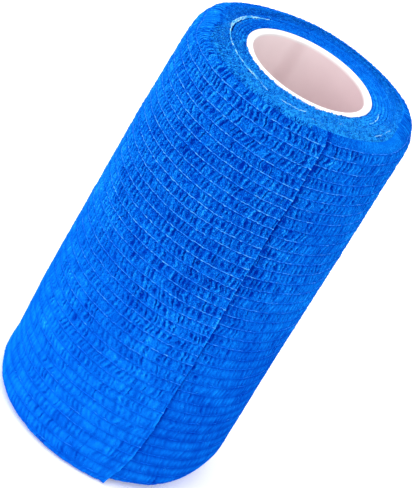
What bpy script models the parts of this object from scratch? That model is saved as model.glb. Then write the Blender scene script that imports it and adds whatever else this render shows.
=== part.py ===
"""Cohesive bandage roll: an elastic crepe strip wound on a rigid core tube, standing on one end.

Run with: blender --background --python part.py

Units are metres, +Z is up along the roll's axis, and the origin is on that axis at the base.
A bearing is an angle round the axis, counted from -Y towards +X. A back angle is counted from
the strip's cut end, which shows on the outside of the roll, back along its last turn.
"""

import math

import bpy

MM = 0.001
FULL_TURN = 2 * math.pi

# The core tube.
CORE_LENGTH = 100.0 * MM
CORE_OUTER_R = 15.4 * MM
CORE_WALL = 1.7 * MM
CORE_EDGE_ROUND = 0.45 * MM
CORE_STEPS = 48

# The strip, wound round the core with a small clearance.
STRIP_WIDTH = 99.5 * MM
TURN_THICKNESS = 0.73 * MM
TURNS = 16
SEAT_GAP = 0.3 * MM
BORE_R = CORE_OUTER_R + SEAT_GAP
ROLL_R = BORE_R + TURNS * TURN_THICKNESS
COLUMNS = 56

# Elastic threads run along the strip, and the crepe between them stands up as ribs.
THREADS = 36
SELVEDGE = 1.8 * MM
THREAD_PITCH = (STRIP_WIDTH - 2 * SELVEDGE) / (THREADS - 1)
RIB_HEIGHT = 0.32 * MM
SELVEDGE_ROWS = (0.0, 0.35 * MM, 0.9 * MM)

# The cut end: a step down to the turn below, scalloped between the threads.
CUT_BEARING = math.radians(24.3)
STEP_ANGLE = math.radians(1.05)
SCALLOP = 0.2 * MM
CUT_SPREAD = math.radians(35)
# (height in mm, how far the cut reaches past CUT_BEARING in mm)
CUT_TABLE = (
    (0, -2.6),
    (5, -0.8),
    (9, 0.1),
    (18, 1.0),
    (28, 0.6),
    (42, 0.5),
    (64, -0.2),
    (92, 0.0),
    (102, -0.6),
)

# The last turn creeps along the axis: (back angle in turns, height of the strip's lower edge in mm).
DRIFT_TABLE = ((0.0, 0.35), (0.25, 0.7), (0.6, 1.3), (0.9, 1.7), (1.0, 1.35))

# The wall is a little uneven: (height in mm, sideways shift towards +X in mm, swell in mm).
WALL_TABLE = (
    (0, 0.30, 0.00),
    (10, 0.70, 0.08),
    (24, 0.38, 0.15),
    (34, 0.12, 0.20),
    (55, -0.08, 0.20),
    (72, -0.16, 0.12),
    (84, -0.12, -0.15),
    (102, -0.12, -0.30),
)

# The rims are rounded: (bearing in degrees, lower rim's radius in mm, upper rim's radius in mm).
RIM_TABLE = (
    (-180, 2.2, 3.0),
    (-90, 3.0, 2.4),
    (-40, 1.4, 1.0),
    (25, 1.2, 0.9),
    (90, 1.8, 1.7),
    (180, 2.2, 3.0),
)

# The end faces. The upper one rises a little towards its rim, more on one side.
UPPER_FACE_AT_BORE = 99.8 * MM
UPPER_FACE_RISE = 0.7 * MM
UPPER_FACE_TILT = 0.4 * MM
TILT_BEARING = math.radians(115)
LOWER_FACE_RADII = (23.2 * MM, 19.5 * MM, BORE_R)
# (radius in mm, relief in mm): one turn stands proud along PROUD_BEARING, and its neighbours lie low.
FACE_TABLE = (
    (BORE_R / MM, 0.0),
    (17.4, -0.10),
    (19.3, -0.20),
    (20.2, 0.45),
    (21.2, -0.20),
    (23.2, -0.15),
)
PROUD_BEARING = math.radians(-62)
PROUD_SPREAD = math.radians(120)

CREPE_BLUE = (0.0, 0.13, 0.80, 1.0)
CREPE_ROUGHNESS = 0.85
CORE_WHITE = (0.86, 0.84, 0.84, 1.0)
CORE_ROUGHNESS = 0.45

MERGE_DISTANCE = 0.05 * MM
SHARP_EDGE = math.radians(50)


def from_table(table, key, column=1):
    """The table's column at key: straight between its rows, and level past its ends."""
    if key <= table[0][0]:
        return table[0][column]
    for low, high in zip(table, table[1:]):
        if key <= high[0]:
            share = (key - low[0]) / (high[0] - low[0])
            return low[column] + share * (high[column] - low[column])
    return table[-1][column]


def half_turn_angle(angle):
    """The same angle, between minus and plus half a turn."""
    return (angle + math.pi) % FULL_TURN - math.pi


def place(radius, bearing, height):
    return (radius * math.sin(bearing), -radius * math.cos(bearing), height)


def clear_scene():
    for obj in list(bpy.data.objects):
        bpy.data.objects.remove(obj)


def make_material(name, colour, roughness):
    material = bpy.data.materials.new(name)
    material.use_nodes = True
    shader = material.node_tree.nodes["Principled BSDF"]
    shader.inputs["Base Color"].default_value = colour
    shader.inputs["Roughness"].default_value = roughness
    shader.inputs["Metallic"].default_value = 0.0
    return material


def turned(name, profile, steps, material, collection):
    """An object turned round Z from a closed profile of (radius, height), which runs down its outside."""
    vertices = [(radius, 0, height) for radius, height in profile]
    edges = [(i, (i + 1) % len(vertices)) for i in range(len(vertices))]
    mesh = bpy.data.meshes.new(name)
    mesh.from_pydata(vertices, edges, [])
    mesh.materials.append(material)
    obj = bpy.data.objects.new(name, mesh)
    collection.objects.link(obj)
    turn = obj.modifiers.new("Turn", "SCREW")
    turn.axis = "Z"
    turn.steps = turn.render_steps = steps
    turn.use_merge_vertices = True
    turn.merge_threshold = MERGE_DISTANCE
    turn.use_smooth_shade = True
    return obj


def corner(radius, height, toward_x, toward_z):
    """Three points of the quarter round on a corner of the tube's section, from its side to its end."""
    points = []
    for degrees in (0, 45, 90):
        angle = math.radians(degrees)
        across = CORE_EDGE_ROUND * (1 - math.cos(angle))
        along = CORE_EDGE_ROUND * (1 - math.sin(angle))
        points.append((radius + toward_x * across, height + toward_z * along))
    return points


def make_core(collection):
    inner_r = CORE_OUTER_R - CORE_WALL
    profile = [
        *reversed(corner(CORE_OUTER_R, CORE_LENGTH, -1, -1)),
        *corner(CORE_OUTER_R, 0, -1, 1),
        *reversed(corner(inner_r, 0, 1, 1)),
        *corner(inner_r, CORE_LENGTH, 1, -1),
    ]
    material = make_material("core_white", CORE_WHITE, CORE_ROUGHNESS)
    return turned("core_tube", profile, CORE_STEPS, material, collection)


def wall_rows():
    """(distance from the strip's lower edge, rib offset), from its upper edge down."""
    rows = [(along, 0.0) for along in SELVEDGE_ROWS]
    for thread in range(THREADS):
        along = SELVEDGE + thread * THREAD_PITCH
        rows.append((along, -RIB_HEIGHT / 2))
        if thread < THREADS - 1:
            rows.append((along + THREAD_PITCH / 2, RIB_HEIGHT / 2))
    rows += [(STRIP_WIDTH - along, 0.0) for along in reversed(SELVEDGE_ROWS)]
    return rows[::-1]


def winding_profile():
    """The winding's section before it is wound: upper face outwards, wall down, lower face inwards."""
    upper_face = [(radius * MM, UPPER_FACE_AT_BORE) for radius, _ in FACE_TABLE]
    wall = [(ROLL_R + rib, along) for along, rib in wall_rows()]
    lower_face = [(radius, 0.0) for radius in LOWER_FACE_RADII]
    return [*upper_face, *wall, *lower_face]


def rim_inset(distance, rim_radius):
    """How far a rounded rim draws the wall in, at a distance from the strip's edge."""
    short = min(rim_radius, max(0.0, rim_radius - distance))
    return rim_radius - math.sqrt(rim_radius**2 - short**2)


def wall_point(rib, along, column):
    """A point of the wall on the spiral. Column 0 is the cut end, and the last column the step's foot."""
    back_angle = column * (FULL_TURN - STEP_ANGLE) / (COLUMNS - 1)
    bearing = half_turn_angle(CUT_BEARING - back_angle)
    height = from_table(DRIFT_TABLE, back_angle / FULL_TURN) * MM + along
    shift = from_table(WALL_TABLE, height / MM, 1) * MM
    swell = from_table(WALL_TABLE, height / MM, 2) * MM
    lower_rim = from_table(RIM_TABLE, math.degrees(bearing), 1) * MM
    upper_rim = from_table(RIM_TABLE, math.degrees(bearing), 2) * MM

    radius = ROLL_R - TURN_THICKNESS * back_angle / FULL_TURN
    radius += rib + swell + shift * math.sin(bearing)
    radius -= rim_inset(along, lower_rim) + rim_inset(STRIP_WIDTH - along, upper_rim)

    reach = from_table(CUT_TABLE, height / MM) * MM
    reach *= max(0.0, 1 - abs(half_turn_angle(back_angle)) / CUT_SPREAD)
    if column == 0:
        reach -= math.copysign(SCALLOP, rib) if rib else 0.0
    return place(radius, bearing + reach / ROLL_R, height)


def face_point(radius, height, column):
    """A point of an end face or of the bore. Only the upper face is uneven."""
    bearing = CUT_BEARING - column * FULL_TURN / COLUMNS
    if height > 0:
        share = (radius - BORE_R) / (ROLL_R - BORE_R)
        height += share * (UPPER_FACE_RISE + UPPER_FACE_TILT * math.cos(bearing - TILT_BEARING))
        relief = from_table(FACE_TABLE, radius / MM) * MM
        away = half_turn_angle(bearing - PROUD_BEARING) / PROUD_SPREAD
        height += relief * (math.cos(away * math.pi / 2) if abs(away) < 1 else 0.0)
    return place(radius, bearing, height)


def wind(mesh):
    """Move the points of the turned section onto the spiral."""
    wall_from = ROLL_R - RIB_HEIGHT
    for vertex in mesh.vertices:
        x, y, height = vertex.co
        radius = math.hypot(x, y)
        column = round(-math.atan2(y, x) / FULL_TURN * COLUMNS) % COLUMNS
        if radius > wall_from:
            vertex.co = wall_point(radius - ROLL_R, height, column)
        else:
            vertex.co = face_point(radius, height, column)


def make_bandage(collection):
    material = make_material("crepe_blue", CREPE_BLUE, CREPE_ROUGHNESS)
    roll = turned("bandage_roll", winding_profile(), COLUMNS, material, collection)
    section_turned = roll.evaluated_get(bpy.context.evaluated_depsgraph_get())
    mesh = bpy.data.meshes.new_from_object(section_turned)
    roll.modifiers.clear()
    roll.data = mesh
    wind(mesh)
    mesh.set_sharp_from_angle(angle=SHARP_EDGE)
    return roll


def main():
    clear_scene()
    collection = bpy.data.collections.new("Cohesive bandage roll")
    bpy.context.scene.collection.children.link(collection)
    make_core(collection)
    make_bandage(collection)


main()
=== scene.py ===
"""Looks of the cohesive bandage roll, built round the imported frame.

The bandage is one crepe strip, wound from the core outwards. Its last turn is three sheets that meet
end to end, the turns under it are a fourth, of which only the edges show, and the elastic threads
and loose fibres lie on them. The core is a tube inside them all.

Lengths are in millimetres until a mesh is made. "back" is the angle in radians from the strip's
cut end back along the strip, "arc" is the same in millimetres, "across" runs over the strip's
width from its lower edge, and "lift" points out of the roll. A bearing is an angle round the
axis, from -Y towards +X.
"""

import math

import bpy
import numpy as np
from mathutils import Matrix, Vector


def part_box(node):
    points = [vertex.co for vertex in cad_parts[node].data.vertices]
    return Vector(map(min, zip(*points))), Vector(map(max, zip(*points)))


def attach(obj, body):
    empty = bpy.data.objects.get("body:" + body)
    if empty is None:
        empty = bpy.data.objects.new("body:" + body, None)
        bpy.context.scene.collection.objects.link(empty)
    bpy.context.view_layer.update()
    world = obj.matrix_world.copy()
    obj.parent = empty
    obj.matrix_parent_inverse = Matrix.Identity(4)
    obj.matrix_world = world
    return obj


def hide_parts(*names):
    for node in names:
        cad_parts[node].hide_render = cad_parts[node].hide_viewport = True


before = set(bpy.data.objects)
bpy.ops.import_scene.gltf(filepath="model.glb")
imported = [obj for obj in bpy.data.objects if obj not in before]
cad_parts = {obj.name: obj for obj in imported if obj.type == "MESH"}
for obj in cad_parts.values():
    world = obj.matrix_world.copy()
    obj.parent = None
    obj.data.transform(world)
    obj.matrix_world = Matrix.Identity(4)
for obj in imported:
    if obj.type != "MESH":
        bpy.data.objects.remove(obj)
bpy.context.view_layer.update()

MM = 0.001
FULL_TURN = 2 * math.pi
NOISE_SIZE = 512

# The winding, as in the part's source, but with turns thick enough to reach the core.
STRIP_WIDTH = 99.5
TURNS = 16
CORE_OUTER_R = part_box("core_tube")[1].x / MM
CORE_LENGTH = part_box("core_tube")[1].z / MM
CORE_WALL = 1.7
CORE_OUTER_ROUND = 0.15
CORE_INNER_ROUND = 0.45
CORE_STEPS = 160
CORE_UNEVENNESS = 0.02
# The turns stay this far off the core, and pressed to it they keep this share of their thickness.
CORE_CLEARANCE = 0.03
CORE_SQUEEZE = 0.08
ROLL_R = CORE_OUTER_R + 0.3 + TURNS * 0.73
ROUND_LENGTH = FULL_TURN * ROLL_R
TURN_PITCH = (ROLL_R - CORE_OUTER_R - CORE_CLEARANCE) / TURNS
CUT_BEARING = math.radians(24.3)
CUT_SPREAD = math.radians(35)
# (height, how far the cut reaches past CUT_BEARING)
CUT_TABLE = (
    (0, -2.9),
    (5, -1.1),
    (9, -0.2),
    (18, 0.7),
    (28, 0.3),
    (42, 0.2),
    (64, -0.5),
    (92, -0.3),
    (102, -0.9),
)
# (back angle in turns, height of the strip's lower edge)
DRIFT_TABLE = ((0.0, 0.16), (0.08, 0.18), (0.2, 0.32), (0.6, 0.8), (0.9, 1.05), (1.0, 1.05))
# (height, sideways shift towards +X, swell)
WALL_TABLE = (
    (0, 0.30, 0.08),
    (10, 0.80, 0.28),
    (24, 0.33, 0.44),
    (34, 0.14, 0.38),
    (55, -0.03, 0.29),
    (72, -0.18, 0.28),
    (84, -0.18, 0.05),
    (102, -0.12, -0.22),
)
# The rims are rounded, and turns outside RIM_FROM are drawn in with them.
# (bearing in degrees, lower rim's radius, upper rim's radius)
RIM_FROM = 19.5
RIM_TABLE = (
    (-180, 2.4, 2.6),
    (-165, 2.4, 2.9),
    (-150, 2.4, 3.8),
    (-128, 2.4, 3.9),
    (-109, 2.5, 3.5),
    (-97, 2.8, 4.9),
    (-86, 4.4, 6.3),
    (-75, 4.4, 4.8),
    (-60, 3.1, 2.0),
    (-40, 2.2, 1.2),
    (-15, 1.3, 1.1),
    (8, 0.9, 1.0),
    (19, 0.6, 1.0),
    (27, 1.6, 1.1),
    (45, 2.6, 1.4),
    (60, 4.8, 1.8),
    (76, 7.5, 3.5),
    (90, 7.6, 4.7),
    (106, 5.0, 3.5),
    (120, 3.2, 2.8),
    (140, 2.4, 3.1),
    (165, 2.4, 3.0),
    (180, 2.4, 2.6),
)

# The upper face: its height next to the core and how it rises towards the rim.
FACE_AT_CORE = 99.97
FACE_AT_CORE_TILT = 0.12
CORE_TILT_BEARING = math.radians(-120)
FACE_RISE = 0.38
FACE_RISE_TILT = 0.25
TILT_BEARING = math.radians(115)
# (radius, relief): one turn of the upper face stands proud along PROUD_BEARING
FACE_TABLE = (
    (CORE_OUTER_R, 0.0),
    (17.4, -0.05),
    (19.0, -0.12),
    (20.0, 0.22),
    (21.0, -0.08),
    (23.2, -0.05),
)
PROUD_BEARING = math.radians(-62)
PROUD_SPREAD = math.radians(120)
# Inside the last turn, the lower edges step down to the flat lower face over LOWER_FACE_TURNS.
LOWER_FACE_AT = 0.12
LOWER_FACE_TURNS = 6.0

# Elastic threads run along the strip. They lie a little off their even places.
THREADS = 36
SELVEDGE = 1.8
THREAD_PITCH = (STRIP_WIDTH - 2 * SELVEDGE) / (THREADS - 1)
# (distance from the lower edge, how far a thread there lies above its even place)
SAG_TABLE = (
    (0, 0),
    (10, 0.1),
    (25, -0.35),
    (60, -0.5),
    (72, -0.25),
    (80, -0.2),
    (91, -0.45),
    (97.7, 0),
    (99.5, 0),
)
THREAD_R = 0.095
THREAD_SIDES = 4
THREAD_STEP = 2
THREAD_RISE = 0.08
# A thread's lift, thickness and light where it crosses a crest, and between two. The light is a painted
# highlight on a crest and painted shade between two.
THREAD_DIPS = (0.05, -0.04)
THREAD_SWELLS = (1.15, 0.85)
THREAD_PAINTED_LIGHTS = (0.10, -0.05)

# Between two threads the crepe is a row of narrow sunken pits with crests between them.
# Every column of the last turn's mesh follows a line along or between the pits.
HIDDEN_END = 0.17
LAST_TURN = FULL_TURN + HIDDEN_END
LAST_TURN_PIECES = ("last_turn_cut_end", "last_turn_middle", "last_turn_start")
PIT_LENGTH = 1.22
PITS = len(LAST_TURN_PIECES) * round(LAST_TURN * ROLL_R / PIT_LENGTH / len(LAST_TURN_PIECES))
PIT_STEPS = 6
BAND_SHARES = (0.0, 0.12, 0.28, 0.44, 0.60, 0.76, 0.90)
EDGE_ROWS = (0.0, 0.35, 0.75, 1.15, 1.5)
SMALLEST_PIT = 0.6
# How far the crests stray from even rows. A noise is (amount, size along the strip, size across, seed).
CREST_SHIFT = 0.38
CREST_JITTER = 0.065
CREST_LEAN = 0.2
CREST_BOW = 0.2
CREST_NOISE = (0.45, 7, 4.5, 7)
LEAN_NOISE = (0.15, 13, 9, 8)
# Each pit's place and half size in its cell, its depth and its crests' height: (least, most)
PIT_CENTRE = (0.38, 0.62)
PIT_HALF_WIDTH = (0.18, 0.36)
PIT_MIDDLE = (0.38, 0.60)
PIT_HALF_HEIGHT = (0.20, 0.46)
PIT_DEPTHS = (0.1, 1.8)
PIT_DEPTH_SPREAD = 0.4
CREST_HEIGHTS = (0.2, 1.6)
# Some pits are split in two, some have a raised middle, and some are hardly sunk.
SPLIT_BELOW = 0.18
SPLIT_MIDDLES = (0.25, 0.73)
SPLIT_HALF_HEIGHT = 0.18
RINGED_ABOVE = 0.84
WEAK_PITS = 0.09
# Where a pit's wall starts and ends, in half sizes, and the same round a raised middle
PIT_WALL = (0.5, 1.25)
RING_WALL = (0.1, 0.6)
PIT_ROUNDNESS = 2.2
PIT_RAGGED = 0.13
PIT_DEPTH = 0.33
CREST_HEIGHT = 0.16
CREST_SHARPNESS = 1.6
# The bands next to the upper edge stand out more.
TOP_BANDS = 3
TOP_BANDS_BOOST = 1.25
# The crepe is pinched along the threads, with a groove under each, and it is patchy, lumpy and grainy.
PINCH = 0.7
PINCH_DEPTH = 0.03
PINCH_WIDTH = 0.26
GROOVE_DEPTH = 0.17
GROOVE_SHARE = 0.90
GROOVE_WIDTH = 0.06
PATCH_NOISE = (0.5, 9, 11, 3)
PATCH_LEAST = 0.7
PATCH_RANGE = 0.5
LUMP_NOISE = (0.055, 0.7, 0.75, 5)
GRAIN_LIFT = 0.055
GRAIN_LIMIT = 2.2
EVENED_BOOST = 1.35
SHARP_FROM_CRISP = (0.30, 0.66)
DEEPEST = -0.42
# Towards the hidden end the upper selvedge gets rolled and plain, between these shares of a turn.
ROLLED_TURNS = (0.80, 0.86)
ROLLED_EVENNESS = 0.85
ROLLED_LIFT = 0.05
# At the cut end the strip stands off a little and its lower corner curls out.
# A reach is the distance from the cut or the edge over which an effect fades out.
FREE_LIFT = 0.08
FREE_REACH = 2.5
CORNER_CURL = 1.0
CORNER_REACH = 1.3
# The relief's share at the cut, and the distance over which it would rise by a whole one
CUT_RELIEF = 0.65
CUT_RELIEF_RISE = 1.5
SCALLOP = -0.07
SCALLOP_REACH = 1.2
CUT_WANDER = 0.3
CUT_WANDER_SIZE = 4.2
# Under the cut end the relief is pressed down to HIDDEN_RELIEF of itself over HIDDEN_FADE.
HIDDEN_RELIEF = 0.1
HIDDEN_FADE = 0.8
HIDDEN_FROM = 0.6
# The edges wave and the rows wander. A noise along one line is (amount, size, line, seed).
EDGE_REACH = 1.5
EDGE_FRAY_NOISE = (0.13, 0.55, 0.5, 13)
EDGE_WAVE_NOISE = (0.27, 2.3, 2.5, 14)
EDGE_BULGE_NOISE = (0.2, 1.7, 4.5, 18)
LOWER_EDGE_SHARE = -0.45
ROW_WAVER_NOISE = (0.09, 2.7, 2.74, 15)
ROW_DRIFT_NOISE = (0.22, 16, 14, 16)
SHEET_THICKNESS = 0.50
SHARP_EDGE = math.radians(75)

# How strongly the crepe stands out: (height, share), (bearing from CRISP_BEARING in degrees, share)
CRISP_BEARING = math.radians(-14)
CRISP_UP_TABLE = ((0, 0.40), (20, 0.46), (46, 0.78), (68, 1.0))
CRISP_ROUND_TABLE = ((0, 1.0), (32, 1.0), (62, 0.72), (180, 0.72))
# The same for the stipple of the upper face: (bearing in degrees, share)
CRISP_FACE_TABLE = (
    (-180, 0.45),
    (-130, 0.45),
    (-100, 0.7),
    (-65, 1.5),
    (0, 1.8),
    (55, 1.9),
    (78, 0.9),
    (95, 0.5),
    (150, 0.45),
    (180, 0.45),
)
# Painted light on the upper face, lighter at the front and right: (bearing in degrees, step on the colour
# ramp)
FACE_PAINTED_LIGHT_TABLE = (
    (-180, 0.04),
    (-100, -0.03),
    (-50, 0.04),
    (0, 0.22),
    (60, 0.22),
    (110, 0.12),
    (180, 0.04),
)
# How the crepe's colour changes: here and there at random, darker where it is crisp as painted shade of its
# deeper pits, and elsewhere darker along the threads and lighter between them, painted shade of the pinches
FINE_TONE_NOISE = (0.05, 2.8, 2.6, 24)
BROAD_TONE_NOISE = (0.04, 9, 11, 26)
CRISP_PAINTED_SHADE = -0.13
THREAD_PAINTED_SHADE = 0.09
# (bearing in degrees, share of the painted shade along the threads)
BAND_ROUND_TABLE = ((-60, 0.9), (20, 1.0), (28, 1.4), (120, 1.4), (180, 1.0))
# The crepe is lighter here and there along the cut. Just past the cut's step, between the threads,
# it is darker: painted shade, where the step's shadow falls.
CUT_LIGHT = 0.22
CUT_LIGHT_REACH = 2.2
CUT_LIGHT_NOISE = (1, 1.5, 1.6, 25)
STEP_SHADE_DARK = 0.24
STEP_SHADE_DARKER = 0.26
STEP_SHADE_PLACE = 0.4
STEP_SHADE_WIDTH = 0.6
STEP_SHADE_FROM = -0.3
# The heights between which the painted shade past the cut's step grows darker
STEP_SHADE_TOP = (65, 90)
# The wall's painted light and shade, as the light falls: lighter on the left, darker low down past the cut.
# (bearing in degrees, step near the lower end, step higher up). The second takes over from the first
# between the heights WALL_HIGH_UP.
WALL_HIGH_UP = (30, 65)
WALL_PAINTED_LIGHT_TABLE = (
    (-180, 0.0, 0.0),
    (-100, 0.05, 0.06),
    (-55, 0.03, 0.05),
    (-25, 0.0, 0.0),
    (24, 0.0, 0.0),
    (27, -0.07, -0.01),
    (75, -0.08, 0.03),
    (130, 0.0, 0.0),
    (180, 0.0, 0.0),
)

# The turns inside: the section of the strip's upper and lower edge as (distance from the edge, lift).
INNER_STEP = 0.26
INNER_THICKNESS = 0.72
UPPER_EDGE = ((2.5, 0.0), (0.13, 0.0), (0.0, -0.18), (0.0, -0.54), (0.13, -0.72), (2.5, -0.72))
LOWER_EDGE = ((2.5, -0.72), (0.1, -0.72), (0.1, 0.0), (2.5, 0.0))

# Loose ends of thread on the upper face, each as (bearing in degrees, radius, thickness).
FACE_THREADS = (
    (
        (-133, 18.6, 0.10),
        (-120, 18.85, 0.17),
        (-107, 19.15, 0.17),
        (-77, 19.55, 0.12),
        (-49, 19.45, 0.09),
        (-38, 20.1, 0.09),
        (-23, 20.4, 0.08),
        (-14, 21.1, 0.07),
    ),
    ((-125, 19.05, 0.08), (-107, 19.45, 0.13), (-92, 19.7, 0.10), (-84, 19.75, 0.06)),
    ((-52, 19.8, 0.06), (-40, 19.7, 0.08), (-30, 19.95, 0.08), (-20, 20.0, 0.06)),
    ((-7, 21.2, 0.09), (6, 20.8, 0.09), (12, 20.1, 0.07)),
    ((66, 18.3, 0.08), (80, 17.9, 0.09), (90, 17.3, 0.07)),
    ((56, 22.5, 0.08), (68, 22.0, 0.09), (81, 21.6, 0.07)),
)
# Pale fibres on the upper face, in patches of (bearing in degrees, its spread, radii from, to, count).
PALE_PATCHES = (
    (38, 30, 15.9, 23.6, 1300),
    (-80, 16, 20.0, 24.2, 420),
    (-104, 16, 18.7, 19.7, 260),
)
WALL_FIBRES = 17000
FACE_FIBRES = 9000
FIBRE_R = 0.042

# A burr at the core's upper end.
BURR_BEARING = math.radians(-157)
BURR_HALF_WIDTH = 9
BURR_HEIGHT = 0.45

# The camera looks down at the standing roll and is turned, so that the roll leans in the picture.
CAMERA_ELEVATION = math.radians(27.27)
CAMERA_ROLL = math.radians(31.62)
CAMERA_DISTANCE = 0.5903
CAMERA_TARGET_HEIGHT = 0.05
CAMERA_SENSOR = 36.0
CAMERA_LENS = 194.7
CAMERA_SHIFT = (0.01045, 0.0083)

# The key light, a faintly glowing floor just below the roll, and the room's light
KEY_PLACE = (-0.25, -0.95, 1.1)
KEY_SIZE = 2.8
KEY_POWER = 9.5
FLOOR_GLOW = 0.2
FLOOR_DROP = 0.05
ROOM_LIGHT = 1.06
ROOM_LIGHT_TILT = (-0.42, 0.0, 0.42)


def table(rows, key, column=1):
    """The column of a table at key: straight between its rows, and level past its ends."""
    return np.interp(key, [row[0] for row in rows], [row[column] for row in rows])


def half_turn_angle(angle):
    return (angle + math.pi) % FULL_TURN - math.pi


def smooth_step(value, start, stop):
    share = np.clip((value - start) / (stop - start), 0, 1)
    return share * share * (3 - 2 * share)


def smooth_noise(x, y, seed):
    """Smooth random hills of unit size, between -1 and 1."""
    lattice = np.random.default_rng(seed).uniform(-1, 1, (NOISE_SIZE, NOISE_SIZE))
    x, y = np.broadcast_arrays(np.asarray(x, float), np.asarray(y, float))
    column, row = np.floor(x).astype(int), np.floor(y).astype(int)
    u, v = x - column, y - row
    u, v = u * u * (3 - 2 * u), v * v * (3 - 2 * v)
    left, right = column % NOISE_SIZE, (column + 1) % NOISE_SIZE
    near_row, far_row = row % NOISE_SIZE, (row + 1) % NOISE_SIZE
    near = lattice[near_row, left] * (1 - u) + lattice[near_row, right] * u
    far = lattice[far_row, left] * (1 - u) + lattice[far_row, right] * u
    return near * (1 - v) + far * v


def uneven(noise_layer, arc, across):
    """Smooth unevenness over the strip, from (amount, size along, size across, seed)."""
    amount, arc_size, across_size, seed = noise_layer
    return amount * smooth_noise(arc / arc_size, across / across_size, seed)


def uneven_along(noise_layer, arc):
    """Smooth unevenness along the strip alone, from (amount, size, line, seed)."""
    amount, size, line, seed = noise_layer
    return amount * smooth_noise(arc / size, line, seed)


def clipped_normal(scatter, size, limit=2):
    return np.clip(scatter.normal(size=size), -limit, limit)


def fading(distance, reach):
    """From 1 at no distance to 0 at reach."""
    return np.clip(1 - distance / reach, 0, 1)


def rim_inset(distance, rim):
    """How far a rounded rim draws the wall in, at a distance from the strip's edge."""
    short = np.clip(rim - distance, 0, rim)
    return rim - np.sqrt(rim**2 - short**2)


def face_level(radius, bearing):
    """Height of the upper face."""
    share = (radius - CORE_OUTER_R) / (ROLL_R - CORE_OUTER_R)
    level = FACE_AT_CORE + FACE_AT_CORE_TILT * np.cos(bearing - CORE_TILT_BEARING) * (1 - share)
    level = level + share * (FACE_RISE + FACE_RISE_TILT * np.cos(bearing - TILT_BEARING))
    away = half_turn_angle(bearing - PROUD_BEARING) / PROUD_SPREAD
    return level + table(FACE_TABLE, radius) * np.cos(np.clip(away, -1, 1) * math.pi / 2)


def turn_radius(back):
    return ROLL_R - TURN_PITCH * back / FULL_TURN


def strip_edges(back):
    """Heights of the strip's lower and upper edge."""
    turn = back / FULL_TURN
    drift = table(DRIFT_TABLE, turn)
    under = smooth_step(turn, 1.03, 1.03 + LOWER_FACE_TURNS)
    over = smooth_step(turn, 1.03, 1.25)
    low = drift * (1 - under) + LOWER_FACE_AT * under
    high = (drift + STRIP_WIDTH) * (1 - over) + face_level(turn_radius(back), CUT_BEARING - back) * over
    return low, high


def wound(back, height, lift):
    """Points of the wound strip as an array (..., 3): at a back angle and height, lift out of its face."""
    bearing = CUT_BEARING - back
    degrees = np.degrees(half_turn_angle(bearing))
    low, high = strip_edges(back)
    radius = turn_radius(back)
    outer = np.clip((radius - RIM_FROM) / (ROLL_R - RIM_FROM), 0, 1)
    rims = rim_inset(height - low, table(RIM_TABLE, degrees, 1))
    rims = rims + rim_inset(high - height, table(RIM_TABLE, degrees, 2))
    squeeze = 1 - rims / (ROLL_R - RIM_FROM) * (outer > 0)
    shift = table(WALL_TABLE, height, 1) * np.sin(bearing) + table(WALL_TABLE, height, 2)
    radius = radius + (shift - rims) * outer + lift * squeeze
    # Next to the core the strip is squeezed thin, but never to nothing.
    squeezed = CORE_SQUEEZE * (lift + INNER_THICKNESS)
    radius = np.maximum(radius, CORE_OUTER_R + CORE_CLEARANCE + squeezed)
    bearing = bearing + cut_reach(height) * np.clip(1 - back / CUT_SPREAD, 0, 1) / ROLL_R
    radius, bearing, height = np.broadcast_arrays(radius, bearing, height)
    return np.stack([radius * np.sin(bearing), -radius * np.cos(bearing), height], axis=-1)


def cut_reach(height):
    return table(CUT_TABLE, height)


def make_mesh(name, points, faces, materials, attributes=None):
    """A smooth mesh object from points in millimetres. attributes hold a float or a vector to a point."""
    mesh = bpy.data.meshes.new(name)
    mesh.from_pydata((np.asarray(points, float) * MM).tolist(), [], faces)
    mesh.shade_smooth()
    mesh.set_sharp_from_angle(angle=SHARP_EDGE)
    for key, values in (attributes or {}).items():
        values = np.asarray(values, np.float32)
        is_float = values.ndim == 1
        attribute = mesh.attributes.new(key, "FLOAT" if is_float else "FLOAT_VECTOR", "POINT")
        attribute.data.foreach_set("value" if is_float else "vector", values.reshape(-1))
    for material in materials:
        mesh.materials.append(material)
    mesh.validate()
    obj = bpy.data.objects.new(name, mesh)
    bpy.context.scene.collection.objects.link(obj)
    return obj


def grid_faces(rows, columns, first=0, closed_rows=False):
    """Quads of a grid of points stored column by column, rows points to a column.

    They face out of the roll where rows run up it and columns run back along the strip.
    """
    across = np.arange(rows if closed_rows else rows - 1)
    after = (across + 1) % rows
    start = first + np.arange(columns - 1)[:, None] * rows
    quads = [start + across, start + after, start + rows + after, start + rows + across]
    return np.stack(quads, axis=-1).reshape(-1, 4).tolist()


def flipped(faces):
    """The faces turned over, each still from its first corner."""
    return [face[:1] + face[:0:-1] for face in faces]


def closed_faces(rows, columns):
    """Faces of a grid whose rows close to a ring, with a face over each end."""
    last = (columns - 1) * rows
    ends = [list(range(rows)), [last + row for row in reversed(range(rows))]]
    return grid_faces(rows, columns, closed_rows=True) + flipped(ends)


def zip_lines(first, second, first_share, second_share):
    """Triangles between two rows of point numbers that run the same way but have other counts."""
    faces, i, j = [], 0, 0
    while i < len(first) - 1 or j < len(second) - 1:
        take_first = j == len(second) - 1 or (
            i < len(first) - 1 and first_share[i + 1] <= second_share[j + 1]
        )
        if take_first:
            faces.append((first[i], first[i + 1], second[j]))
            i += 1
        else:
            faces.append((first[i], second[j + 1], second[j]))
            j += 1
    return faces


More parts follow.
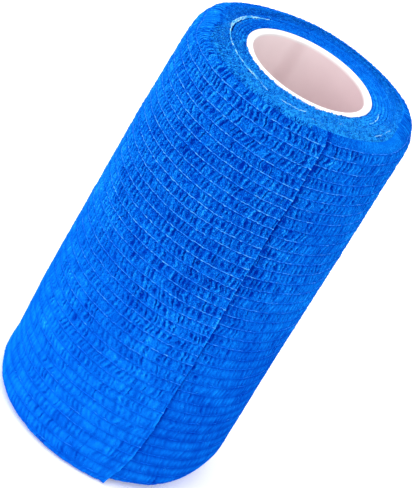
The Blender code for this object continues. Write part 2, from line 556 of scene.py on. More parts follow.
def turn_rows():
    """Each row of the last turn, from the lower edge up: (across, share of its band, band)."""
    rows = [(across, 0.25 + 0.75 * across / SELVEDGE, 0) for across in EDGE_ROWS]
    for band in range(THREADS - 1):
        rows += [(SELVEDGE + (band + share) * THREAD_PITCH, share, band + 1) for share in BAND_SHARES]
    rows.append((STRIP_WIDTH - SELVEDGE, 0.0, THREADS))
    for across in reversed(EDGE_ROWS):
        rows.append((STRIP_WIDTH - across, 0.75 * (1 - across / SELVEDGE), THREADS))
    return tuple(np.array(column) for column in zip(*rows))


def thread_rows():
    return len(EDGE_ROWS) + np.arange(THREADS) * len(BAND_SHARES)


def pit_columns():
    """Each column's pit, and how far along that pit it lies."""
    column = np.arange(PITS * PIT_STEPS + 1)
    return column // PIT_STEPS, column % PIT_STEPS / PIT_STEPS


def crest_lines(across, share, band):
    """Where the crests cross each row, in mm along the strip: (rows, PITS + 1)."""
    scatter = np.random.default_rng(17)
    size = (THREADS + 1, PITS + 1)
    up = share[:, None]
    place = (np.arange(PITS + 1)[None, :] + 0.5 * (band % 2)[:, None]) * PIT_LENGTH
    lean = scatter.uniform(-CREST_LEAN, CREST_LEAN, size)[band] + uneven(LEAN_NOISE, place, across[:, None])
    bow = scatter.uniform(-CREST_BOW, CREST_BOW, size)[band]
    place = place + uneven(CREST_NOISE, place, across[:, None])
    place = place + scatter.uniform(-CREST_SHIFT, CREST_SHIFT, size)[band]
    place = place + lean * (2 * up - 1) + bow * 4 * up * (1 - up)
    place = place + CREST_JITTER * clipped_normal(scatter, place.shape)
    steps = np.clip(np.diff(place, axis=1), SMALLEST_PIT, None)
    place = np.concatenate([np.zeros((len(across), 1)), np.cumsum(steps, axis=1)], axis=1)
    return place * (LAST_TURN * ROLL_R / place[:, -1:])


def pitted_relief(share, band):
    """Lift of the pits and crests over the strip's middle face: (columns, rows)."""
    scatter = np.random.default_rng(11)
    size = (THREADS + 1, PITS + 1)
    centre = scatter.uniform(*PIT_CENTRE, size)
    half_width = scatter.uniform(*PIT_HALF_WIDTH, size)
    middle = scatter.uniform(*PIT_MIDDLE, size)
    half_height = scatter.uniform(*PIT_HALF_HEIGHT, size)
    kind = scatter.random(size)
    depth = np.clip(scatter.normal(1.0, PIT_DEPTH_SPREAD, size), *PIT_DEPTHS)
    depth = np.where(scatter.random(size) < WEAK_PITS, PIT_DEPTHS[0], depth)
    crest = scatter.uniform(*CREST_HEIGHTS, size)

    pit, along = (part[:, None] for part in pit_columns())
    cell = (band[None, :], pit)
    up = share[None, :]
    is_split = kind[cell] < SPLIT_BELOW
    is_ringed = kind[cell] > RINGED_ABOVE
    x = (along - centre[cell]) / half_width[cell]
    one = (up - middle[cell]) / half_height[cell]
    two = (up - np.where(up < 0.5, *SPLIT_MIDDLES)) / SPLIT_HALF_HEIGHT
    y = np.where(is_split, two, one)
    rim = (np.abs(x) ** PIT_ROUNDNESS + np.abs(y) ** PIT_ROUNDNESS) ** (1 / PIT_ROUNDNESS)
    rim = rim * (1 + PIT_RAGGED * clipped_normal(scatter, rim.shape))
    sunk = 1 - smooth_step(rim, *PIT_WALL)
    sunk = sunk * np.where(is_ringed, smooth_step(rim, *RING_WALL), 1)
    ridge = (0.5 + 0.5 * np.cos(FULL_TURN * along)) ** CREST_SHARPNESS
    ridge = ridge * crest[band[None, :], pit + (along > 0.5)]
    relief = CREST_HEIGHT * ridge * (1 - sunk) - PIT_DEPTH * depth[cell] * sunk
    return relief * np.where(band > THREADS - TOP_BANDS, TOP_BANDS_BOOST, 1)[None, :]


def crispness(back, height):
    """How strong the pits are: most on the upper front, less towards the lower end and round the sides."""
    away = np.abs(np.degrees(half_turn_angle(CUT_BEARING - back - CRISP_BEARING)))
    return table(CRISP_UP_TABLE, height) * table(CRISP_ROUND_TABLE, away)


def evened(relief):
    """The relief averaged with its neighbours along and across the strip."""
    for axis in (0, 1):
        relief = (np.roll(relief, -1, axis) + relief + np.roll(relief, 1, axis)) / 3
    return relief


def cloth_relief(arc, across, share, band, crisp):
    """Lift of the crepe, before its edges and ends are shaped: (columns, rows)."""
    scatter = np.random.default_rng(19)
    relief = pitted_relief(share, band)
    to_thread = np.minimum(share, 1 - share) * THREAD_PITCH * ((band > 0) | (share > 0.5))
    at_thread = np.exp(-((to_thread / PINCH_WIDTH) ** 2))[None, :]
    groove = np.exp(-(((share - GROOVE_SHARE) / GROOVE_WIDTH) ** 2))[None, :] * GROOVE_DEPTH
    relief = relief * (1 - PINCH * at_thread) - PINCH_DEPTH * at_thread
    patch = 0.5 + uneven(PATCH_NOISE, arc, across[None, :])
    relief = relief * (PATCH_LEAST + PATCH_RANGE * patch)
    relief = relief + uneven(LUMP_NOISE, arc, across[None, :])
    relief = relief + GRAIN_LIFT * clipped_normal(scatter, arc.shape, GRAIN_LIMIT)
    sharp = smooth_step(crisp, *SHARP_FROM_CRISP)
    relief = relief * crisp * sharp + evened(relief) * EVENED_BOOST * crisp * (1 - sharp)
    return relief - groove * crisp


def settled_relief(relief, arc, across, shown):
    """The relief, plainer on the rolled selvedge, at the cut end and where the strip is hidden under it."""
    rolled = smooth_step(arc / ROLL_R, *(FULL_TURN * turn for turn in ROLLED_TURNS))
    above = (across > STRIP_WIDTH - SELVEDGE + 0.2)[None, :]
    relief = np.where(above, relief * (1 - ROLLED_EVENNESS * rolled) + ROLLED_LIFT * rolled, relief)
    at_cut = np.clip(CUT_RELIEF + arc / CUT_RELIEF_RISE, 0, 1)
    return np.clip(relief * at_cut, DEEPEST, None) * shown


def row_wander(arc, across, shown):
    """How far each point strays across the strip, and how far the wavy edges bulge out."""
    edge_wave = uneven_along(EDGE_FRAY_NOISE, arc) + uneven_along(EDGE_WAVE_NOISE, arc)
    near_edge = fading(np.minimum(across, STRIP_WIDTH - across), EDGE_REACH)[None, :]
    side = np.where(across > STRIP_WIDTH / 2, 1.0, LOWER_EDGE_SHARE)[None, :]
    stray = uneven(ROW_WAVER_NOISE, arc, across[None, :])
    stray = stray + uneven(ROW_DRIFT_NOISE, arc, across[None, :])
    stray = stray * (1 - near_edge) + side * near_edge * edge_wave * shown
    return stray, uneven_along(EDGE_BULGE_NOISE, arc) * near_edge * shown


def free_lift(arc):
    """How far the strip stands off at its cut end."""
    return FREE_LIFT * fading(arc, FREE_REACH) ** 2


def wall_tone_and_painted_light(arc, across, share, height, crisp):
    """The crepe's step on the colour ramp, apart from its relief and the cut, with painted light and shade
    in it.
    """
    # Random unevenness, and darker where the crepe is crisp: painted shade of its deeper pits.
    tone = uneven(FINE_TONE_NOISE, arc, across[None, :]) + CRISP_PAINTED_SHADE * (crisp - 0.5)
    tone = tone + uneven(BROAD_TONE_NOISE, arc, across[None, :])
    degrees = np.degrees(half_turn_angle(CUT_BEARING - arc / ROLL_R))
    # Painted shade along the threads, lighter between them, where the crepe is less crisp.
    banded = THREAD_PAINTED_SHADE * table(BAND_ROUND_TABLE, degrees) * (1 - crisp)
    tone = tone - banded * np.cos(FULL_TURN * share)[None, :]
    # Painted light and shade round the sides: lighter on the left, darker low down past the cut.
    high_up = smooth_step(height, *WALL_HIGH_UP)
    tone = tone + table(WALL_PAINTED_LIGHT_TABLE, degrees, 1) * (1 - high_up)
    return tone + table(WALL_PAINTED_LIGHT_TABLE, degrees, 2) * high_up


def painted_step_shade(share, across, height, from_step, crisp):
    """Painted shade past the cut's step: how dark it is just past the step, deepest between two threads."""
    dark = STEP_SHADE_DARK + STEP_SHADE_DARKER * np.sin(math.pi * share)
    dark = dark * (0.75 + 0.4 * smooth_noise(2.5, across / 1.7, 21))
    inside = np.exp(-(((from_step - STEP_SHADE_PLACE) / STEP_SHADE_WIDTH) ** 2)) * (from_step > STEP_SHADE_FROM)
    return dark[None, :] * inside * (0.5 + 0.5 * crisp + 0.4 * smooth_step(height, *STEP_SHADE_TOP))


def last_turn_surface():
    """The last turn's outer face: points (columns, rows, 3), relief, back, across, shade, crisp."""
    across, share, band = turn_rows()
    lines = crest_lines(across, share, band)
    pit, along = pit_columns()
    arc = (lines[:, pit] * (1 - along) + lines[:, np.minimum(pit + 1, PITS)] * along).T
    low, _ = strip_edges(arc / ROLL_R)
    height = low + across[None, :]
    reach = cut_reach(height)
    crisp = crispness(arc / ROLL_R, height)
    shown = np.clip((ROUND_LENGTH - reach + HIDDEN_FROM - arc) / HIDDEN_FADE, HIDDEN_RELIEF, 1)
    relief = settled_relief(cloth_relief(arc, across, share, band, crisp), arc, across, shown)

    scallop = SCALLOP * np.cos(FULL_TURN * share)
    scallop = scallop + CUT_WANDER * smooth_noise(0.5, across / CUT_WANDER_SIZE, 9)
    back = (arc + scallop[None, :] * fading(arc, SCALLOP_REACH)) / ROLL_R
    curl = CORNER_CURL * fading(arc, CORNER_REACH) * fading(across[None, :], CORNER_REACH)
    free = free_lift(arc) + curl
    stray, bulge = row_wander(arc, across, shown)
    placed = across[None, :] + table(SAG_TABLE, across)[None, :] + stray
    low, _ = strip_edges(back)
    points = wound(back, low + placed, relief + free + bulge)

    lighter = CUT_LIGHT * np.clip(0.2 + uneven(CUT_LIGHT_NOISE, arc, across[None, :]), 0, 1)
    # The relief sets the colour too: pits darker, crests lighter, partly painted shade.
    shade = relief + wall_tone_and_painted_light(arc, across, share, height, crisp) + lighter * fading(arc, CUT_LIGHT_REACH)
    # Painted shade just past the cut's step, where its shadow falls on the turn below.
    shade = shade - painted_step_shade(share, across, height, ROUND_LENGTH - reach - arc, crisp)
    return points, relief, back, across, shade, crisp


def strip_places(back, across):
    """Each point's place on the strip as (mm back from the cut end, across, 0), for the cloth's grain."""
    back, across = np.broadcast_arrays(back, across)
    return np.stack([back * ROLL_R, across, np.zeros(back.shape)], axis=-1).reshape(-1, 3)


def make_last_turn_sheet(name, material, surface, columns):
    """Part of the last turn as a closed sheet: pitted outside, plain inside, with both edges and ends."""
    outside, _, back, across, shade, crisp = (part[columns] if part.ndim > 1 else part for part in surface)
    count, rows, _ = outside.shape
    inner_rows = np.array([0, 2, 5, rows // 4, rows // 2, 3 * rows // 4, rows - 6, rows - 3, rows - 1])
    inner_across = across[inner_rows]
    middle = back[:, rows // 2][:, None]
    low, _ = strip_edges(middle)
    inside = wound(middle, low + inner_across[None, :], -SHEET_THICKNESS)
    first = count * rows
    faces = grid_faces(rows, count) + flipped(grid_faces(len(inner_rows), count, first))
    for outer_row, inner_row in ((0, 0), (rows - 1, len(inner_rows) - 1)):
        outer = np.arange(count) * rows + outer_row
        inner = first + np.arange(count) * len(inner_rows) + inner_row
        edge = np.stack([outer[:-1], inner[:-1], inner[1:], outer[1:]], axis=-1).tolist()
        faces += flipped(edge) if outer_row == 0 else edge
    for column in (0, count - 1):
        line = [column * rows + row for row in range(rows)]
        inner_line = [first + column * len(inner_rows) + row for row in range(len(inner_rows))]
        end = zip_lines(line, inner_line, across, inner_across)
        faces += flipped(end) if column == 0 else end
    plain = np.zeros(count * len(inner_rows))
    attributes = {
        "shade": np.concatenate([shade.reshape(-1), plain]),
        "crisp": np.concatenate([crisp.reshape(-1) ** 2, plain]),
        "strip": np.concatenate(
            [strip_places(back, across[None, :]), strip_places(middle, inner_across[None, :])]
        ),
    }
    points = np.concatenate([outside.reshape(-1, 3), inside.reshape(-1, 3)])
    return make_mesh(name, points, faces, [material], attributes)


def tube(path, radius, sides):
    """Points and faces of a closed tube along a path."""
    ahead = np.gradient(path, axis=0)
    ahead /= np.linalg.norm(ahead, axis=1)[:, None]
    up = np.array([0.0, 0.0, 1.0]) - ahead * ahead[:, 2:3]
    up /= np.linalg.norm(up, axis=1)[:, None]
    out = np.cross(up, ahead)
    angles = np.arange(sides) * FULL_TURN / sides
    ring = np.cos(angles)[None, :, None] * out[:, None, :] + np.sin(angles)[None, :, None] * up[:, None, :]
    points = path[:, None, :] + np.asarray(radius).reshape(-1, 1, 1) * ring
    return points.reshape(-1, 3), closed_faces(sides, len(path))


def spindles(starts, ends, lifts, radius):
    """Points and faces of short closed fibres, thickest in their middle, which stands off by lifts."""
    ahead = ends - starts
    ahead = ahead / np.linalg.norm(ahead, axis=1)[:, None]
    side = np.cross(ahead, lifts)
    side = side / np.linalg.norm(side, axis=1)[:, None]
    up = np.cross(side, ahead)
    middle = (starts + ends) / 2 + lifts
    ring = [
        middle + radius[:, None] * (math.cos(angle) * side + math.sin(angle) * up)
        for angle in (math.radians(90), math.radians(210), math.radians(330))
    ]
    points = np.stack([starts, *ring, ends], axis=1)
    pattern = np.array([(0, 1, 2), (0, 2, 3), (0, 3, 1), (4, 2, 1), (4, 3, 2), (4, 1, 3)])
    faces = pattern[None, :, :] + 5 * np.arange(len(starts))[:, None, None]
    return points.reshape(-1, 3), faces.reshape(-1, 3).tolist()


def joined(shapes):
    """One list of points, one of faces and one of light from shapes of (points, faces, light)."""
    all_points, all_faces, all_light, count = [], [], [], 0
    for points, faces, light in shapes:
        all_points.append(points)
        all_faces += [[count + index for index in face] for face in faces]
        all_light.append(np.broadcast_to(light, len(points)))
        count += len(points)
    return np.concatenate(all_points), all_faces, np.concatenate(all_light)


def plain_lift(relief):
    """The relief under a thread, evened out, because a thread bridges the crepe's small grains."""
    return np.convolve(np.pad(relief, 1, mode="edge"), (0.25, 0.5, 0.25), mode="valid")


def make_thread(row, surface, scatter):
    """One elastic thread: it is thickest where it crosses a crest and dips into the crepe between two."""
    points, relief, back, _, _, crisp = surface
    shown = back[:, row] < FULL_TURN + 0.06
    columns = np.flatnonzero(shown)[::THREAD_STEP]
    count = len(columns)
    angle = back[columns, row]
    arc = angle * ROLL_R
    height = points[columns, row, 2]
    on_crest = columns % PIT_STEPS == 0
    faint = 1 - crisp[columns, row]
    beaded = crisp[columns, row] ** 2
    dips = 0.09 * smooth_noise(arc / 2.8, row * 0.37, 29) + 0.035 * beaded * scatter.normal(size=count)
    dips = dips + np.where(on_crest, *THREAD_DIPS) * beaded - 0.25 * faint
    bare = np.clip((ROUND_LENGTH - arc) / 2, 0, 1)
    rise = plain_lift(relief[columns, row]) + THREAD_RISE + dips
    lift = free_lift(arc) + rise * bare - 0.05 * (1 - bare)
    path = wound(angle, height + 0.05 * scatter.normal(size=count), lift)
    radius = THREAD_R * scatter.uniform(0.7, 1.2, count) * np.where(on_crest, *THREAD_SWELLS)
    radius[:2] = THREAD_R * (1 + 0.4 * crisp[0, row])
    # Painted highlight where the thread crosses a crest, painted shade where it dips between two.
    light = (0.11 * scatter.normal(size=count) + np.where(on_crest, *THREAD_PAINTED_LIGHTS)) * beaded
    light = light + 0.10 * smooth_noise(arc / 3.1, row * 0.73, 27) - 0.45 * faint
    light[:2] = 0.35 * scatter.random() - 0.4 * faint[:2]
    return *tube(path, radius, THREAD_SIDES), np.repeat(light, THREAD_SIDES)


def make_threads(material, surface):
    """The elastic threads along the last turn."""
    scatter = np.random.default_rng(23)
    points, faces, light = joined(make_thread(row, surface, scatter) for row in thread_rows())
    return make_mesh("elastic_threads", points, faces, [material], {"light": light})


def wall_fibres(scatter, surface):
    """Fibres that lie on the last turn, from point to point of its surface, most where it is crisp."""
    points, _, _, _, _, crisp = surface
    columns, rows, _ = points.shape
    last = int(columns * FULL_TURN / LAST_TURN) - 12
    column = scatter.integers(4, last, WALL_FIBRES)
    row = scatter.integers(3, rows - 3, WALL_FIBRES)
    kept = scatter.random(WALL_FIBRES) < crisp[column, row] ** 2
    column, row = column[kept], row[kept]
    count = len(column)
    along = scatter.choice([-3, -2, -1, 1, 2, 3], count)
    over = scatter.integers(-2, 3, count)
    starts = points[column, row]
    ends = points[column + along, np.clip(row + over, 0, rows - 1)]
    outwards = starts * (1, 1, 0) / np.linalg.norm(starts[:, :2], axis=1)[:, None]
    lifts = outwards * scatter.uniform(0.01, 0.08, count)[:, None]
    return *spindles(starts, ends, lifts, FIBRE_R * scatter.uniform(0.7, 1.4, count)), 0.0


def face_fibres(scatter, back, low_lift, high_lift):
    """Fibres that lie on the inner turns' upper edges, near the given back angles."""
    count = len(back)
    lift = scatter.uniform(-INNER_THICKNESS, 0, count)
    turned = back + scatter.uniform(0.15, 0.5, count) * scatter.choice([-1, 1], count) / turn_radius(back)
    _, start_height = strip_edges(back)
    _, end_height = strip_edges(turned)
    starts = wound(back, start_height + scatter.uniform(low_lift, high_lift, count), lift)
    lift = lift + scatter.uniform(-0.45, 0.45, count)
    ends = wound(turned, end_height + scatter.uniform(low_lift, high_lift, count), lift)
    lifts = np.zeros((count, 3))
    lifts[:, 2] = scatter.uniform(0.01, 0.09, count)
    return *spindles(starts, ends, lifts, FIBRE_R * scatter.uniform(0.7, 1.5, count)), 0.0


def make_fibres(material, surface):
    """Loose fibres of the crepe, on the last turn and on the upper face."""
    scatter = np.random.default_rng(43)
    radius = np.sqrt(scatter.uniform((CORE_OUTER_R + 0.7) ** 2, (ROLL_R - 0.9) ** 2, FACE_FIBRES))
    bearing = scatter.uniform(-math.pi, math.pi, FACE_FIBRES)
    kept = scatter.random(FACE_FIBRES) < table(CRISP_FACE_TABLE, np.degrees(bearing))
    back = spiral_back(radius[kept], bearing[kept])
    points, faces, light = joined([wall_fibres(scatter, surface), face_fibres(scatter, back, -0.05, 0.1)])
    return make_mesh("loose_fibres", points, faces, [material], {"light": light})


def spiral_back(radius, bearing):
    """The back angle where the strip passes nearest to a radius at a bearing."""
    first = (CUT_BEARING - bearing) % FULL_TURN
    turn = np.round((ROLL_R - radius) / TURN_PITCH - first / FULL_TURN)
    return first + FULL_TURN * np.clip(turn, 1.1, TURNS - 1)


def face_thread(places, scatter):
    """A loose end of thread on the upper face."""
    degrees = np.arange(places[0][0], places[-1][0], 1.0)
    count = len(degrees)
    radius = table(places, degrees) + 0.07 * scatter.normal(size=count)
    bearing = np.radians(degrees)
    height = face_level(radius, bearing) + 0.16 + 0.05 * scatter.normal(size=count)
    path = np.stack([radius * np.sin(bearing), -radius * np.cos(bearing), height], axis=-1)
    thickness = table(places, degrees, 2) * scatter.uniform(0.6, 1.4, count)
    return *tube(path, thickness, THREAD_SIDES), 0.10


def make_bare_threads(material):
    """Pale loose ends of thread on the upper face, and patches of pale fibres."""
    scatter = np.random.default_rng(47)
    shapes = [face_thread(places, scatter) for places in FACE_THREADS]
    for middle, spread, inner, outer, count in PALE_PATCHES:
        radius = scatter.uniform(inner, outer, count)
        bearing = np.radians(middle + spread * np.clip(scatter.normal(size=count), -2, 1.6))
        points, faces, _ = face_fibres(scatter, spiral_back(radius, bearing), 0.0, 0.12)
        shapes.append((points, faces, -0.13))
    points, faces, light = joined(shapes)
    return make_mesh("bare_threads", points, faces, [material], {"light": light})


def make_inner_turns(material):
    """The turns under the last one: a closed strip of which the two edges show."""
    back = [LAST_TURN]
    while back[-1] < TURNS * FULL_TURN:
        back.append(back[-1] + INNER_STEP / turn_radius(back[-1]))
    back = np.array(back)[:, None]
    low, high = strip_edges(back)
    arc = np.arange(len(back))[:, None] * INNER_STEP
    degrees = np.degrees(half_turn_angle(CUT_BEARING - back))
    crisp = table(CRISP_FACE_TABLE, degrees)
    scatter = np.random.default_rng(31)
    upper_in, upper_lift = (np.array(column)[None, :] for column in zip(*UPPER_EDGE))
    lower_in, lower_lift = (np.array(column)[None, :] for column in zip(*LOWER_EDGE))
    top = upper_in < 1
    ragged = 0.12 * smooth_noise(arc / 0.6, upper_in * 3 + upper_lift * 2, 31)
    ragged = ragged + 0.08 * clipped_normal(scatter, (len(back), len(UPPER_EDGE)))
    ragged = ragged * crisp + 0.07 * smooth_noise(arc / 14, 7.5, 33)
    at_core = np.clip((back / FULL_TURN - TURNS + 1.6) / 0.8, 0, 1)
    ragged = ragged + at_core * 0.15 * smooth_noise(arc / 0.9, 9.5, 37)
    waver = 0.04 * smooth_noise(arc / 0.75, 3.5, 35)
    upper = wound(back, high - upper_in + ragged * top, upper_lift + waver * top)
    fray = 0.12 * np.abs(smooth_noise(arc / 0.8, 5.5, 39)) * (lower_in < 1)
    lower = wound(back, low + lower_in + fray, lower_lift + 0 * arc)
    points = np.concatenate([lower, upper], axis=1)
    # Painted light: the upper face is lighter at the front and right.
    tone = table(FACE_PAINTED_LIGHT_TABLE, degrees)
    # Painted shade: the upper edges are darker where they sit lower, and on their sides in the gaps between
    # turns.
    upper_shade = ragged * 1.2 - 0.11 * (upper_in > 0.05) + tone
    shade = np.concatenate([np.zeros((len(back), len(LOWER_EDGE))), upper_shade], axis=1)
    across = np.concatenate([lower_in, STRIP_WIDTH - upper_in], axis=1)
    columns, rows, _ = points.shape
    faces = closed_faces(rows, columns)
    attributes = {
        "shade": shade.reshape(-1),
        "crisp": np.repeat(crisp.reshape(-1), rows),
        "strip": strip_places(back, across),
    }
    return make_mesh("inner_turns", points.reshape(-1, 3), faces, [material], attributes)


def rounded_corner(radius, height, toward_r, toward_z, rounding):
    """(radius, height) along a quarter round, from the side of a wall to its end."""
    angles = [math.radians(degrees) for degrees in (0, 22.5, 45, 67.5, 90)]
    return [
        (
            radius + toward_r * rounding * (1 - math.cos(angle)),
            height + toward_z * rounding * (1 - math.sin(angle)),
        )
        for angle in angles
    ]


def make_core(material):
    """The core tube: soft edges, a faint unevenness and a small burr at its upper end."""
    inner_r = CORE_OUTER_R - CORE_WALL
    profile = [
        *reversed(rounded_corner(CORE_OUTER_R, 0, -1, 1, CORE_OUTER_ROUND)),
        *rounded_corner(CORE_OUTER_R, CORE_LENGTH, -1, -1, CORE_OUTER_ROUND),
        *reversed(rounded_corner(inner_r, CORE_LENGTH, 1, -1, CORE_INNER_ROUND)),
        *rounded_corner(inner_r, 0, 1, 1, CORE_INNER_ROUND),
    ]
    across, height = (np.array(column)[None, :] for column in zip(*profile))
    bearing = np.arange(CORE_STEPS)[:, None] * FULL_TURN / CORE_STEPS
    unevenness = smooth_noise(4 * np.sin(bearing) + 9, 4 * np.cos(bearing) + 9 + height / 30, 41)
    radius = across - CORE_UNEVENNESS * (1 + unevenness)
    from_burr = np.degrees(np.abs(half_turn_angle(bearing - BURR_BEARING))) / BURR_HALF_WIDTH
    inside = across < CORE_OUTER_R - CORE_WALL / 2
    near_top = np.clip(1 - (CORE_LENGTH - height) / 1.2, 0, 1)
    radius = radius - BURR_HEIGHT * np.clip(1 - from_burr**2, 0, 1) * inside * near_top
    height = height + 0 * bearing
    points = np.stack([radius * np.sin(bearing), -radius * np.cos(bearing), height], axis=-1)
    rows = len(profile)
    total = CORE_STEPS * rows
    # The core's columns run the other way round than the strip's.
    faces = flipped(grid_faces(rows, CORE_STEPS + 1, closed_rows=True))
    faces = [[index % total for index in face] for face in faces]
    return make_mesh("core", points.reshape(-1, 3), faces, [material])


def node(tree, kind, inputs=None, **settings):
    """A shader node with its settings, and its inputs set to values or joined to other sockets."""
    made = tree.nodes.new(kind)
    for key, value in settings.items():
        setattr(made, key, value)
    for key, value in (inputs or {}).items():
        if isinstance(value, bpy.types.NodeSocket):
            tree.links.new(value, made.inputs[key])
        else:
            made.inputs[key].default_value = value
    return made


def maths(tree, operation, *values):
    """A Math node's output."""
    return node(tree, "ShaderNodeMath", dict(enumerate(values)), operation=operation).outputs[0]


def noise(tree, place, scale, detail=2.0, roughness=0.5):
    """A noise texture's output, moved so that it varies about 0."""
    inputs = {"Vector": place, "Scale": scale, "Detail": detail, "Roughness": roughness}
    return maths(tree, "SUBTRACT", node(tree, "ShaderNodeTexNoise", inputs).outputs["Fac"], 0.5)


def attribute(tree, name, output="Fac"):
    """The output of a point attribute of the mesh."""
    return node(tree, "ShaderNodeAttribute", attribute_name=name).outputs[output]


def ramp(tree, factor, stops):
    """A colour ramp with stops of (position, colour)."""
    made = node(tree, "ShaderNodeValToRGB", {"Fac": factor})
    elements = made.color_ramp.elements
    while len(elements) < len(stops):
        elements.new(0.5)
    for element, (position, colour) in zip(elements, stops):
        element.position = position
        element.color = (*colour, 1.0)
    return made.outputs["Color"]


def new_material(name, roughness, specular):
    material = bpy.data.materials.new(name)
    material.use_nodes = True
    tree = material.node_tree
    shader = tree.nodes["Principled BSDF"]
    shader.inputs["Roughness"].default_value = roughness
    shader.inputs["Specular IOR Level"].default_value = specular
    return material, tree, shader


def crepe_material():
    """Blue nonwoven crepe: deep blue in the pits, lighter on the crests, with a fine fibrous grain.

    The pits' deeper blue is partly the cloth's own colour and partly painted shade.
    """
    material, tree, shader = new_material("crepe_blue_cloth", 0.7, 0.0)
    place = node(tree, "ShaderNodeTexCoord").outputs["Object"]
    strip = attribute(tree, "strip", "Vector")
    scaled = {0: strip, 1: (4.0, 2.2, 1.0)}
    along = node(tree, "ShaderNodeVectorMath", scaled, operation="MULTIPLY").outputs[0]
    fibres = noise(tree, along, 1.0, 3.0, 0.6)
    grain = noise(tree, place, 4200.0, 2.0, 0.6)
    blotches = noise(tree, place, 300.0, 3.0, 0.6)
    fine = maths(tree, "MULTIPLY", maths(tree, "ADD", fibres, grain), attribute(tree, "crisp"))
    share = maths(tree, "MULTIPLY_ADD", attribute(tree, "shade"), 1.5, 0.5)
    share = maths(tree, "MULTIPLY_ADD", fine, 2.0, share)
    share = maths(tree, "MULTIPLY_ADD", blotches, 0.4, share)
    colour = ramp(
        tree,
        share,
        (
            (0.0, (0.0, 0.024, 0.36)),
            (0.45, (0.001, 0.102, 0.61)),
            (0.80, (0.003, 0.210, 0.82)),
            (1.0, (0.02, 0.38, 0.98)),
        ),
    )
    tree.links.new(colour, shader.inputs["Base Color"])
    bump = node(tree, "ShaderNodeBump", {"Height": fine, "Strength": 0.6, "Distance": 0.00045})
    tree.links.new(bump.outputs["Normal"], shader.inputs["Normal"])
    return material


def stained_material(name, scale, stops):
    """A fibre's colour, which varies along it and with the mesh's own light.

    On the threads that light is partly painted highlight and painted shade.
    """
    material, tree, shader = new_material(name, 0.6, 0.03)
    place = node(tree, "ShaderNodeTexCoord").outputs["Object"]
    stain = maths(tree, "ADD", noise(tree, place, scale), 0.5)
    stain = maths(tree, "ADD", stain, attribute(tree, "light"))
    tree.links.new(ramp(tree, stain, stops), shader.inputs["Base Color"])
    return material


def thread_material():
    return stained_material(
        "elastic_light_blue",
        900.0,
        ((0.28, (0.0, 0.13, 0.76)), (0.50, (0.025, 0.27, 0.93)), (0.76, (0.10, 0.46, 0.98))),
    )


def fibre_material():
    return stained_material(
        "fibre_blue",
        1500.0,
        ((0.35, (0.0, 0.10, 0.66)), (0.52, (0.003, 0.22, 0.86)), (0.68, (0.03, 0.42, 0.96))),
    )


def bare_thread_material():
    return stained_material(
        "elastic_bare",
        500.0,
        ((0.34, (0.0, 0.25, 0.88)), (0.50, (0.04, 0.44, 0.95)), (0.68, (0.36, 0.76, 0.97))),
    )


def core_material():
    """White core: bright on its ends, faintly pink and uneven inside, with painted light: lighter towards
    -X.
    """
    material, tree, shader = new_material("core_white_card", 0.5, 0.2)
    place = node(tree, "ShaderNodeTexCoord").outputs["Object"]
    sideways, _, height = node(tree, "ShaderNodeSeparateXYZ", {"Vector": place}).outputs
    mottle_and_painted_light = maths(tree, "MULTIPLY_ADD", noise(tree, place, 90.0, 3.0), 0.25, 0.5)
    # Painted light: the inside is lighter towards -X and darker towards +X.
    mottle_and_painted_light = maths(tree, "MULTIPLY_ADD", sideways, -34.0, mottle_and_painted_light)
    inside = ramp(tree, mottle_and_painted_light, ((0.0, (0.62, 0.46, 0.49)), (1.0, (0.97, 0.85, 0.86))))
    top = node(
        tree,
        "ShaderNodeMapRange",
        {"Value": height, "From Min": 0.0990, "From Max": 0.0997, "To Min": 0.0, "To Max": 1.0},
    ).outputs["Result"]
    mixed = {"Factor": top, "A": inside, "B": (0.92, 0.92, 0.92, 1.0)}
    colour = node(tree, "ShaderNodeMix", mixed, data_type="RGBA")
    tree.links.new(colour.outputs["Result"], shader.inputs["Base Color"])
    return material


def make_floor():
    material, _, shader = new_material("pale_floor", 0.9, 0.2)
    shader.inputs["Base Color"].default_value = (0.93, 0.93, 0.93, 1.0)
    shader.inputs["Emission Color"].default_value = (1.0, 1.0, 1.0, 1.0)
    shader.inputs["Emission Strength"].default_value = FLOOR_GLOW
    bpy.ops.mesh.primitive_plane_add(size=6.0, location=(0, 0, -FLOOR_DROP * MM))
    floor = bpy.context.object
    floor.name = "floor"
    floor.data.materials.append(material)


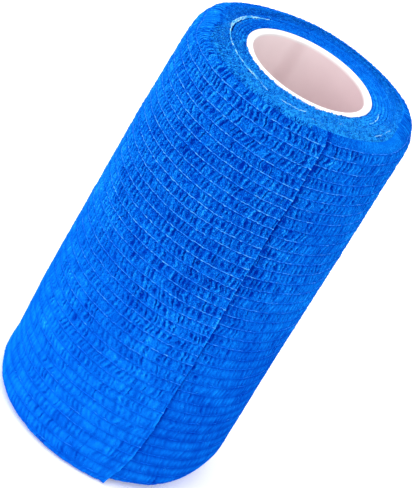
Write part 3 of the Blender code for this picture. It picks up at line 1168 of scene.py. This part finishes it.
def make_lights():
    """A large soft key from the upper left and a pale room that is brighter on the left and above."""
    light = bpy.data.lights.new("key", "AREA")
    light.size = KEY_SIZE
    light.energy = KEY_POWER
    key = bpy.data.objects.new("key", light)
    bpy.context.scene.collection.objects.link(key)
    key.location = KEY_PLACE
    towards_roll = Vector((0, 0, CAMERA_TARGET_HEIGHT)) - key.location
    key.rotation_euler = towards_roll.to_track_quat("-Z", "Y").to_euler()
    world = bpy.data.worlds.new("studio")
    world.use_nodes = True
    tree = world.node_tree
    direction = node(tree, "ShaderNodeTexCoord").outputs["Generated"]
    tilt = node(tree, "ShaderNodeVectorMath", {0: direction, 1: ROOM_LIGHT_TILT}, operation="DOT_PRODUCT")
    strength = maths(tree, "ADD", tilt.outputs["Value"], ROOM_LIGHT)
    tree.nodes["Background"].inputs["Color"].default_value = (1, 1, 1, 1)
    tree.links.new(strength, tree.nodes["Background"].inputs["Strength"])
    bpy.context.scene.world = world
    bpy.context.scene.view_settings.view_transform = "Standard"


def make_camera():
    camera = bpy.data.cameras.new("camera")
    camera.sensor_fit = "VERTICAL"
    camera.sensor_height = CAMERA_SENSOR
    camera.lens = CAMERA_LENS
    camera.shift_x, camera.shift_y = CAMERA_SHIFT
    obj = bpy.data.objects.new("camera", camera)
    bpy.context.scene.collection.objects.link(obj)
    towards_camera = Vector((0, -math.cos(CAMERA_ELEVATION), math.sin(CAMERA_ELEVATION)))
    obj.location = Vector((0, 0, CAMERA_TARGET_HEIGHT)) + towards_camera * CAMERA_DISTANCE
    obj.rotation_euler = towards_camera.to_track_quat("Z", "Y").to_euler()
    obj.rotation_euler.rotate_axis("Z", CAMERA_ROLL)
    bpy.context.scene.camera = obj


def main():
    crepe = crepe_material()
    surface = last_turn_surface()
    stretch = PITS * PIT_STEPS // len(LAST_TURN_PIECES)
    sheets = [
        make_last_turn_sheet(name, crepe, surface, slice(index * stretch, (index + 1) * stretch + 1))
        for index, name in enumerate(LAST_TURN_PIECES)
    ]
    threads = make_threads(thread_material(), surface)
    fibres = make_fibres(fibre_material(), surface)
    inner_turns = make_inner_turns(crepe)
    bare_threads = make_bare_threads(bare_thread_material())
    core = make_core(core_material())
    for piece in (*sheets, threads, fibres, inner_turns, bare_threads):
        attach(piece, "root")
        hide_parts("bandage_roll")
    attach(core, "root")
    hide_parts("core_tube")
    for index, sheet in enumerate(sheets):
        ends = (LAST_TURN * place / len(sheets) for place in (index, index + 1))
        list(ends)
    make_floor()
    make_lights()
    make_camera()


main()
